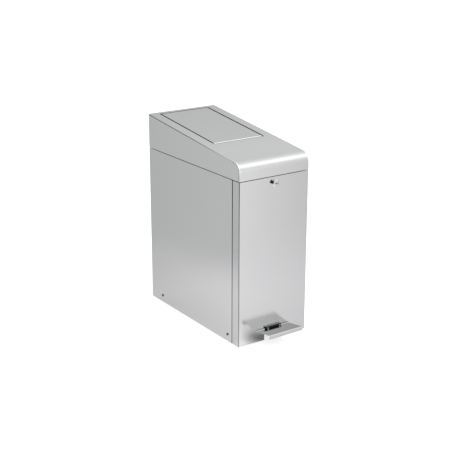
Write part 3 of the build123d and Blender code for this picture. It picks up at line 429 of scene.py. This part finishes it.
satin = 0.25
# Black for the painted shade in the joints, the groove and round the opening
painted_joint_shade = (0.02, 0.6)
# The tongues' black is painted shade in the groove beside the front panel
finish(
    brushed_steel(
        "side_steel", tone=0.60, rough=satin, grain=upright,
        patches=[(shade_on_the_tongues, *painted_joint_shade)],
    ),
    "casing_shell",
)
# Painted shade beside the groove, and a painted dark reflection on the two upright folds
finish(
    brushed_steel(
        "front_steel", tone=0.65, rough=0.18, grain=upright,
        patches=[
            (on_the_returns, 0.56, satin),
            (shade_beside_the_groove, 0.15, 0.4),
            (painted_dark_folds, 0.2, 0.2),
        ],
    ),
    "front_panel",
)
# Painted shade in the roof's joints, and a painted highlight on the ends of the rolled front
finish(
    brushed_steel(
        "roof_steel", tone=0.68, rough=satin, grain=down_the_roof,
        patches=[
            (towards_the_rear, 0.53, satin),
            (shade_on_the_roof, *painted_joint_shade),
            (painted_highlight_on_the_rolls_ends, 0.92, satin),
        ],
    ),
    "lid_top",
)
finish(brushed_steel("cheek_steel", tone=0.62, rough=satin, grain=upright), "lid_shell")
# Painted shade in the flap's joints, and a painted highlight on its front lip
finish(
    brushed_steel(
        "flap_steel", tone=0.605, rough=satin, grain=down_the_roof,
        patches=[
            (towards_the_rear, 0.53, satin),
            (shade_on_the_flap, *painted_joint_shade),
            (painted_highlight_on_the_flaps_lip, 0.85, 0.2),
        ],
    ),
    "flap_panel",
)
# The tread's darker tone is a painted dark reflection
finish(
    brushed_steel(
        "pedal_steel", tone=0.58, rough=0.14, grain=crosswise,
        patches=[(painted_reflection_on_the_tread, 0.42, 0.09)],
    ),
    "pedal_plate",
)
finish(
    zinc("zinc_sheet", tone=0.55),
    "base_pan", "bucket_shelf", "pivot_bracket", "pedal_lever", "guide_bracket", "casing_hinge_leaf",
    "lid_hinge_leaf", "left_flap_bracket", "right_flap_bracket", "lock_catch", "lock_cam", "lock_nut",
)
finish(
    plain_metal("ground_steel", tone=(0.58, 0.58, 0.58), rough=0.22),
    "push_rod", "pivot_axle", "pad_pin", "hinge_pin", "flap_axle", "cam_studs",
)
plated = {"scale": 80.0, "contrast": 0.02, "bump": 0.01}
finish(plain_metal("lock_chrome", tone=(0.76, 0.76, 0.77), rough=0.08, **plated), "lock_housing")
# The plug's black keyway is painted shade
finish(
    plain_metal("plug_chrome", tone=(0.60, 0.60, 0.61), rough=0.12, mask=shade_in_the_keyway, **plated),
    "lock_plug",
)
finish(
    plain_metal("screw_steel", tone=(0.56, 0.56, 0.57), rough=0.22),
    "rivet_nuts", "cam_screw", "cam_nuts", "axle_clips", "flap_axle_clips", "bracket_rivets",
    "guide_rivets", "casing_hinge_rivets", "lid_hinge_rivets",
)
# The screws' bright middles are painted glints inside their blackened rims
finish(
    plain_metal("blackened_screw_with_painted_glint", tone=(0.86, 0.86, 0.87), rough=0.3, mask=round_the_screws),
    "clamp_screws",
)
finish(plain_metal("dark_screw", tone=(0.10, 0.10, 0.10), rough=0.25), "side_screws")
finish(
    moulded(
        "clamp_black", dark=[0.004] * 3, light=[0.009] * 3, rough=0.5, grain=900.0, bump=0.1,
        specular=0.25,
    ),
    "pedal_clamp",
)
finish(
    moulded("bucket_plastic", dark=(0.035, 0.036, 0.038), light=(0.05, 0.051, 0.053), rough=0.5),
    "bucket",
)
finish(
    moulded("nylon", dark=(0.62, 0.60, 0.53), light=(0.72, 0.70, 0.63), rough=0.45),
    "lever_bushes", "lever_pad", "guide_bushes", "rod_foot", "rod_cap", "flap_bushes", "flap_cam",
)
finish(
    moulded(
        "rubber", dark=[0.012] * 3, light=[0.022] * 3, rough=0.75, grain=500.0, bump=0.4,
        specular=0.3,
    ),
    "rubber_feet", "lever_bumpers", "lid_bumpers", "flap_bumpers",
)


# Stage: floor, cards and world. Levels are shares of white, and places are in metres

white = (1.0, 1.0, 1.0)
cool = (0.975, 1.0, 0.99)


def ray_share(tree, *names):
    """A value of 1 for the rays named, and 0 for all others."""
    path = add(tree, "ShaderNodeLightPath")
    return total(tree, *[path.outputs[name] for name in names])


def stage_plane(name, material, corners):
    mesh = bpy.data.meshes.new(name)
    mesh.from_pydata(corners, [], [(0, 1, 2, 3)])
    mesh.materials.append(material)
    plane = bpy.data.objects.new(name, mesh)
    bpy.context.scene.collection.objects.link(plane)
    return plane


def mirror_glow(tree):
    """Painted light on the floor that only mirrors see, beside its own light: more at the object's left,
    and none by the pedal, where it stands in for the pedal's shadow.
    """
    across_the_panel = (0.824, 0.566, 0)
    panel_corner = (-0.085, front_y - 0.05, 0)
    under_the_tread = (0, front_y - 0.03, 0)
    to_the_left = (-1, 0, 0)
    front = along(tree, across_the_panel, start=-0.4, end=0.17, levels=(0.43, 0.0))
    near = around(tree, (0, 0, 0), start=0.45, end=0.9, levels=(0.09, 0.0))
    beside = along(tree, to_the_left, start=half_width - 0.02, end=half_width)
    side = along(tree, to_the_left, start=0.33, end=0.50, levels=(0.19, -0.19))
    rear = along(tree, y_axis, start=0.2, end=0.42, levels=(0.0, -0.15))
    corner = around(tree, panel_corner, start=0.03, end=0.10, levels=(0.34, 0.0))
    clear = around(tree, under_the_tread, start=0.03, end=0.07)
    level = total(tree, front, near, product(tree, beside, total(tree, side, rear)), corner)
    return product(tree, level, clear)


def floor_material():
    """White to the camera with the shadow kept, lit up in mirrors, and pale grey for all other light."""
    camera_glow = 0.74
    dark_grey = (0.60, 0.585, 0.605)
    light_grey = (0.62, 0.605, 0.625)
    material, tree = new_material("floor_white")
    body = add(tree, "ShaderNodeBsdfDiffuse")
    speck = spread(tree, noise(tree, scale=0.8), 0.0, 1.0)
    link(tree, mixed(tree, speck, dark_grey, light_grey), body, "Color")
    glow = add(tree, "ShaderNodeEmission", Color=(*white, 1))
    seen = product(tree, ray_share(tree, "Is Camera Ray"), camera_glow)
    reflected = product(tree, ray_share(tree, "Is Glossy Ray", "Is Transmission Ray"), mirror_glow(tree))
    link(tree, total(tree, seen, reflected), glow, "Strength")
    pair = add(tree, "ShaderNodeAddShader")
    tree.links.new(body.outputs[0], pair.inputs[0])
    tree.links.new(glow.outputs[0], pair.inputs[1])
    show(tree, pair.outputs[0])
    return material


def card_material(name, left, right, top_share, colour):
    """A card's light: its levels at both sides, and its top's as a share of them."""
    material, tree = new_material(name)
    glow = add(tree, "ShaderNodeEmission", Color=(*colour, 1))
    across = along(tree, x_axis, start=-0.4, end=0.4, levels=(left, right))
    upwards = along(tree, z_axis, start=0.3, end=1.1, levels=(1.0, top_share))
    link(tree, product(tree, across, upwards), glow, "Strength")
    show(tree, glow.outputs[0])
    return material


def card(look, site, facing, width, height):
    """An upright card beside the object that only mirrors see, named like its material."""
    half = width / 2
    corners = [(-half, 0, 0), (half, 0, 0), (half, 0, height), (-half, 0, height)]
    board = stage_plane(look.name, look, corners)
    board.location = site
    board.rotation_euler = (0, 0, facing)
    board.visible_camera = False
    board.visible_diffuse = False
    board.visible_shadow = False


def bearing(direction):
    """The turn about Z that brings a card's own Y axis to a direction."""
    return math.atan2(-direction.x, direction.y)


floor_reach = 30
stage_plane("floor", floor_material(), [
    (-floor_reach, -floor_reach, 0), (floor_reach, -floor_reach, 0),
    (floor_reach, floor_reach, 0), (-floor_reach, floor_reach, 0),
])

# The directions in which the object's side and front mirror the camera's view
mirror_side = Vector((-0.57, 0.82, 0))
mirror_front = Vector((0.55, -0.80, 0))
left_distance = 0.6
right_distance = 0.9
left_site = Vector((-half_width, 0, 0)) + left_distance * mirror_side
right_site = Vector((0, front_y, 0)) + right_distance * mirror_front
flag_site = Vector((-0.85, -0.95, 0))
card(
    card_material("left_card", left=0.86, right=0.62, top_share=1.0, colour=cool),
    left_site, bearing(mirror_side), width=1.3, height=0.9,
)
card(
    card_material("right_card", left=1.35, right=0.55, top_share=1.25, colour=white),
    right_site, bearing(-mirror_front), width=1.8, height=0.66,
)
card(
    card_material("dark_flag", left=0.03, right=0.03, top_share=1.0, colour=white),
    flag_site, math.radians(-50), width=1.3, height=1.5,
)


def world_light():
    """Studio light, brighter at the horizon, with a soft box at the front right, white to the camera."""
    overhead_level = 0.24
    soft_box_level = 0.85
    soft_box_centre = Vector((0.56, -0.48, 0.68)).normalized()
    soft_box_edge = math.cos(math.radians(36))
    world = bpy.data.worlds.new("studio")
    bpy.context.scene.world = world
    world.use_nodes = True
    tree = world.node_tree
    tree.nodes.clear()
    direction = add(tree, "ShaderNodeTexCoord").outputs["Generated"]
    horizon = along(tree, z_axis, start=0.0, end=0.4, levels=(0.95, 0.78), source=direction)
    overhead = along(tree, z_axis, start=0.55, end=0.75, source=direction)
    soft_box = along(tree, soft_box_centre, start=soft_box_edge, end=1.0, source=direction)
    level = total(
        tree, horizon, product(tree, overhead, overhead_level),
        product(tree, soft_box, soft_box, soft_box_level),
    )
    camera_ray = ray_share(tree, "Is Camera Ray")
    background = add(tree, "ShaderNodeBackground")
    link(tree, mixed(tree, camera_ray, cool, white), background, "Color")
    link(tree, highest(tree, level, camera_ray), background, "Strength")
    link(tree, background.outputs[0], add(tree, "ShaderNodeOutputWorld"), "Surface")


world_light()


# Lamps


def area_light(name, site, target, width, height, level):
    """A soft box whose face has the given brightness, and which no mirror shows."""
    light = bpy.data.lights.new(name, "AREA")
    light.shape = "RECTANGLE"
    light.size = width
    light.size_y = height
    light.energy = level * math.pi * width * height
    lamp = bpy.data.objects.new(name, light)
    bpy.context.scene.collection.objects.link(lamp)
    lamp.location = site
    lamp.visible_glossy = False
    lamp.rotation_euler = (Vector(target) - Vector(site)).to_track_quat("-Z", "Y").to_euler()


middle = (0, 0, 0.3)
area_light("key", (1.45, -0.95, 2.1), middle, width=2.0, height=1.5, level=1.7)
area_light("fill", (-1.6, -1.8, 1.8), middle, width=1.2, height=1.2, level=0.8)


# Camera

camera_data = bpy.data.cameras.new("camera")
camera = bpy.data.objects.new("camera", camera_data)
bpy.context.scene.collection.objects.link(camera)
bpy.context.scene.camera = camera
photo_width = 458.0  # pixels
focal_length = 1027.6  # pixels
camera_data.sensor_width = 36.0
camera_data.lens = camera_data.sensor_width * focal_length / photo_width
yaw = math.radians(-34.70)
pitch = math.radians(18.51)
roll = math.radians(0.12)
camera.location = (-1.3876, -1.9942, 1.0462)
aim = Matrix.Rotation(yaw, 4, "Z") @ Matrix.Rotation(math.pi / 2 - pitch, 4, "X")
camera.rotation_euler = (aim @ Matrix.Rotation(roll, 4, "Z")).to_euler()
camera_data.clip_start = 0.05
camera_data.clip_end = 100.0

bpy.context.scene.view_settings.view_transform = "Standard"
